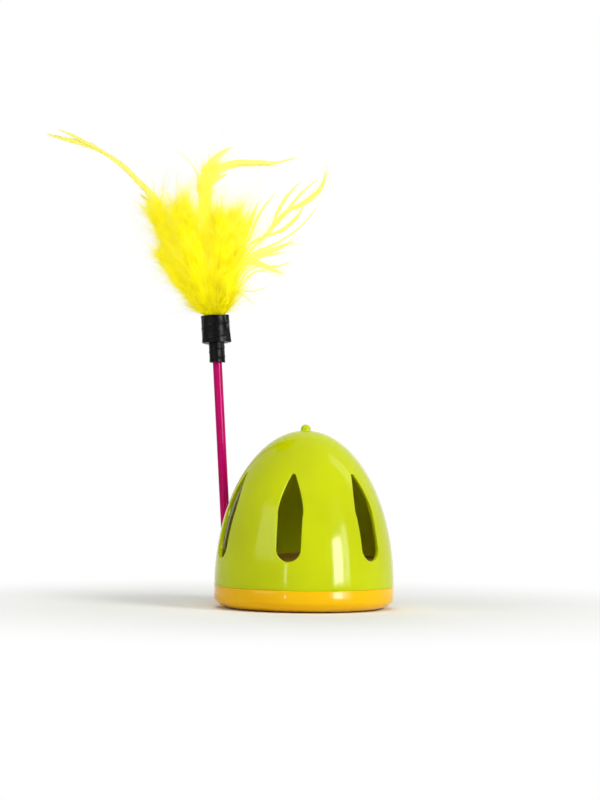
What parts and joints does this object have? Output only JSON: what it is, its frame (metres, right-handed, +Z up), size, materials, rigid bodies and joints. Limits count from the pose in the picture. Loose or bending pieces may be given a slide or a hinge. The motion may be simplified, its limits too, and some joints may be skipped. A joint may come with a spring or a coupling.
{
  "type": "cat activity toy",
  "caption": "Slotted egg-shaped cat toy on a weighted round base, with a bell hung inside and a feather wand standing in a socket on the rim.",
  "frame": {"origin": "centre of the flat underside of the round base", "axes": "+Z up through the nub on the dome's top, -Y towards the front slot, the wand stands behind and to the left"},
  "size_m": [0.1372, 0.0726, 0.1779],
  "materials": {
    "lime_plastic": "gloss",
    "amber_plastic": "gloss",
    "steel": "satin",
    "bell_brass": "polished",
    "magenta_plastic": "gloss",
    "black_tape": "satin",
    "yellow_feather": "matte"
  },
  "bodies": {
    "shell": {"dome_shell": "lime_plastic", "base_bowl": "amber_plastic", "inner_cup": "amber_plastic", "weight_plate": "steel", "base_screws": "steel", "screw_eye": "steel"},
    "ring": {"bell_ring": "bell_brass"},
    "bell": {"bell_upper": "bell_brass", "bell_lower": "bell_brass", "bell_pellet": "steel"},
    "wand": {"wand_rod": "magenta_plastic", "narrow_wrap": "black_tape", "wide_wrap": "black_tape", "long_hackle": "yellow_feather", "right_hackle": "yellow_feather", "crest_hackle": "yellow_feather", "lower_hackle": "yellow_feather", "small_hackle": "yellow_feather", "top_plume": "yellow_feather", "left_plume": "yellow_feather", "low_left_plume": "yellow_feather", "front_left_plume": "yellow_feather", "front_right_plume": "yellow_feather", "right_plume": "yellow_feather", "back_left_plume": "yellow_feather", "back_right_plume": "yellow_feather"}
  },
  "joints": [
    {"name": "ring_swing", "type": "hinge", "parent": "shell", "child": "ring", "pos_m": [0, 0, 0.0621], "axis": [0, 1, 0], "range_deg": [-35, 35]},
    {"name": "bell_swing", "type": "hinge", "parent": "ring", "child": "bell", "pos_m": [0, 0, 0.05985], "axis": [1, 0, 0], "range_deg": [-35, 35]},
    {"name": "wand_pull", "type": "slide", "parent": "shell", "child": "wand", "axis": [-0.0708, 0.0377, 0.9968], "range_m": [0, 0.02]}
  ]
}
